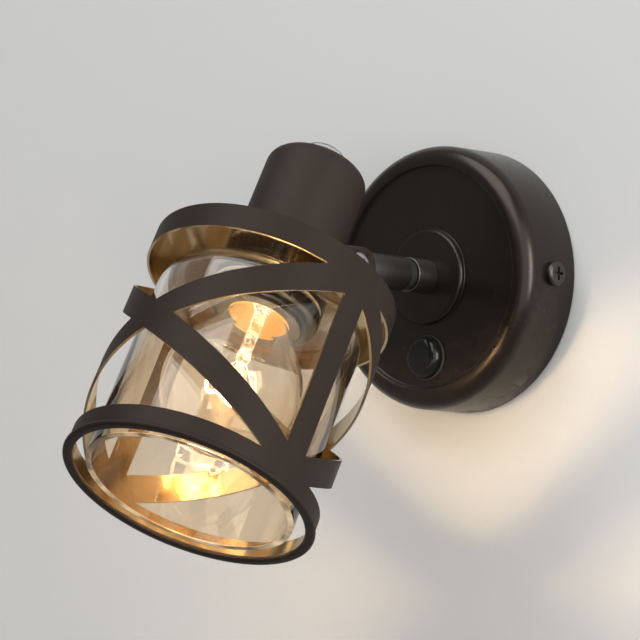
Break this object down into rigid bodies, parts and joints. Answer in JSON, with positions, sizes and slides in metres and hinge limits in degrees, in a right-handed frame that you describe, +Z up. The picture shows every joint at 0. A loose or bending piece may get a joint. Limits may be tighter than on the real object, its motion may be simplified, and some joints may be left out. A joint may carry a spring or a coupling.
{
  "type": "wall spotlight",
  "caption": "Wall spotlight with a round wall cup, push switch, swivelling arm and tilting head: glass cylinder inside a crossed sheet-metal cage",
  "frame": {"origin": "centre of the two wall-screw slots, on the wall", "axes": "+X right along the wall, +Y into the wall, +Z up; the lamp stands out along -Y"},
  "size_m": [0.093, 0.171, 0.1405],
  "materials": {
    "bronze_paint": "satin dark bronze enamel",
    "cage_sheet": "satin dark bronze outside, gold lacquer inside",
    "nickel": "polished nickel plate",
    "black_screw": "blackened steel",
    "black_plastic": "semi-gloss black",
    "dark_plastic": "moulded black",
    "zinc_steel": "zinc plated",
    "brass": "plain brass",
    "white_plastic": "moulded white",
    "clear_cap": "clear moulded plastic",
    "lead_cover": "smooth cable insulation",
    "gasket_rubber": "soft silicone",
    "fibre": "pressed fibre",
    "amber_glass": "clear, faint amber",
    "lamp_glass": "clear",
    "lamp_metal": "plain",
    "black_glass": "black vitrite",
    "tungsten": "fine wire"
  },
  "bodies": {
    "base": {"mount_bracket": "zinc_steel", "canopy": "bronze_paint", "canopy_screws": "black_screw", "earth_screw": "brass", "earth_washer": "brass", "terminal_block": "white_plastic", "terminal_screws": "brass", "block_screw": "zinc_steel", "swivel_post": "bronze_paint", "friction_ring": "dark_plastic", "post_washer": "zinc_steel", "post_nut": "zinc_steel", "switch_body": "dark_plastic", "switch_bezel": "black_plastic", "switch_terminals": "brass", "switch_spring": "zinc_steel", "inner_leads": "lead_cover"},
    "button": {"switch_button": "black_plastic"},
    "arm": {"arm_tube": "bronze_paint", "arm_bush": "brass", "grub_screw": "black_screw", "arm_knuckle": "bronze_paint", "fibre_washer": "fibre"},
    "head": {"head_knuckle": "bronze_paint", "knuckle_screws": "zinc_steel", "pivot_screw": "nickel", "pivot_nut": "nickel", "lampholder_cup": "bronze_paint", "cup_nipple": "zinc_steel", "cup_nut": "white_plastic", "end_cap": "clear_cap", "holder_body": "black_plastic", "holder_shell": "brass", "centre_contact": "brass", "gasket": "gasket_rubber", "shade_ring": "black_plastic", "clamp_ring": "black_plastic", "glass_shade": "amber_glass", "cage": "cage_sheet", "bulb_glass": "lamp_glass", "lamp_cap": "lamp_metal", "lamp_insulator": "black_glass", "lamp_contact": "lamp_metal", "lamp_stem": "lamp_glass", "lamp_supports": "tungsten", "lamp_filament": "tungsten"}
  },
  "joints": [
    {"name": "arm_swivel", "type": "hinge", "parent": "base", "child": "arm", "pos_m": [0, -0.0432, 0], "axis": [0, 1, 0], "range_deg": [-150, 150]},
    {"name": "head_tilt", "type": "hinge", "parent": "arm", "child": "head", "pos_m": [0, -0.0632, 0], "axis": [1, 0, 0], "range_deg": [-60, 45]},
    {"name": "switch_press", "type": "slide", "parent": "base", "child": "button", "axis": [0, 1, 0], "range_m": [0, 0.0018], "stiffness_N_per_m": 400, "springref_m": -0.003}
  ]
}
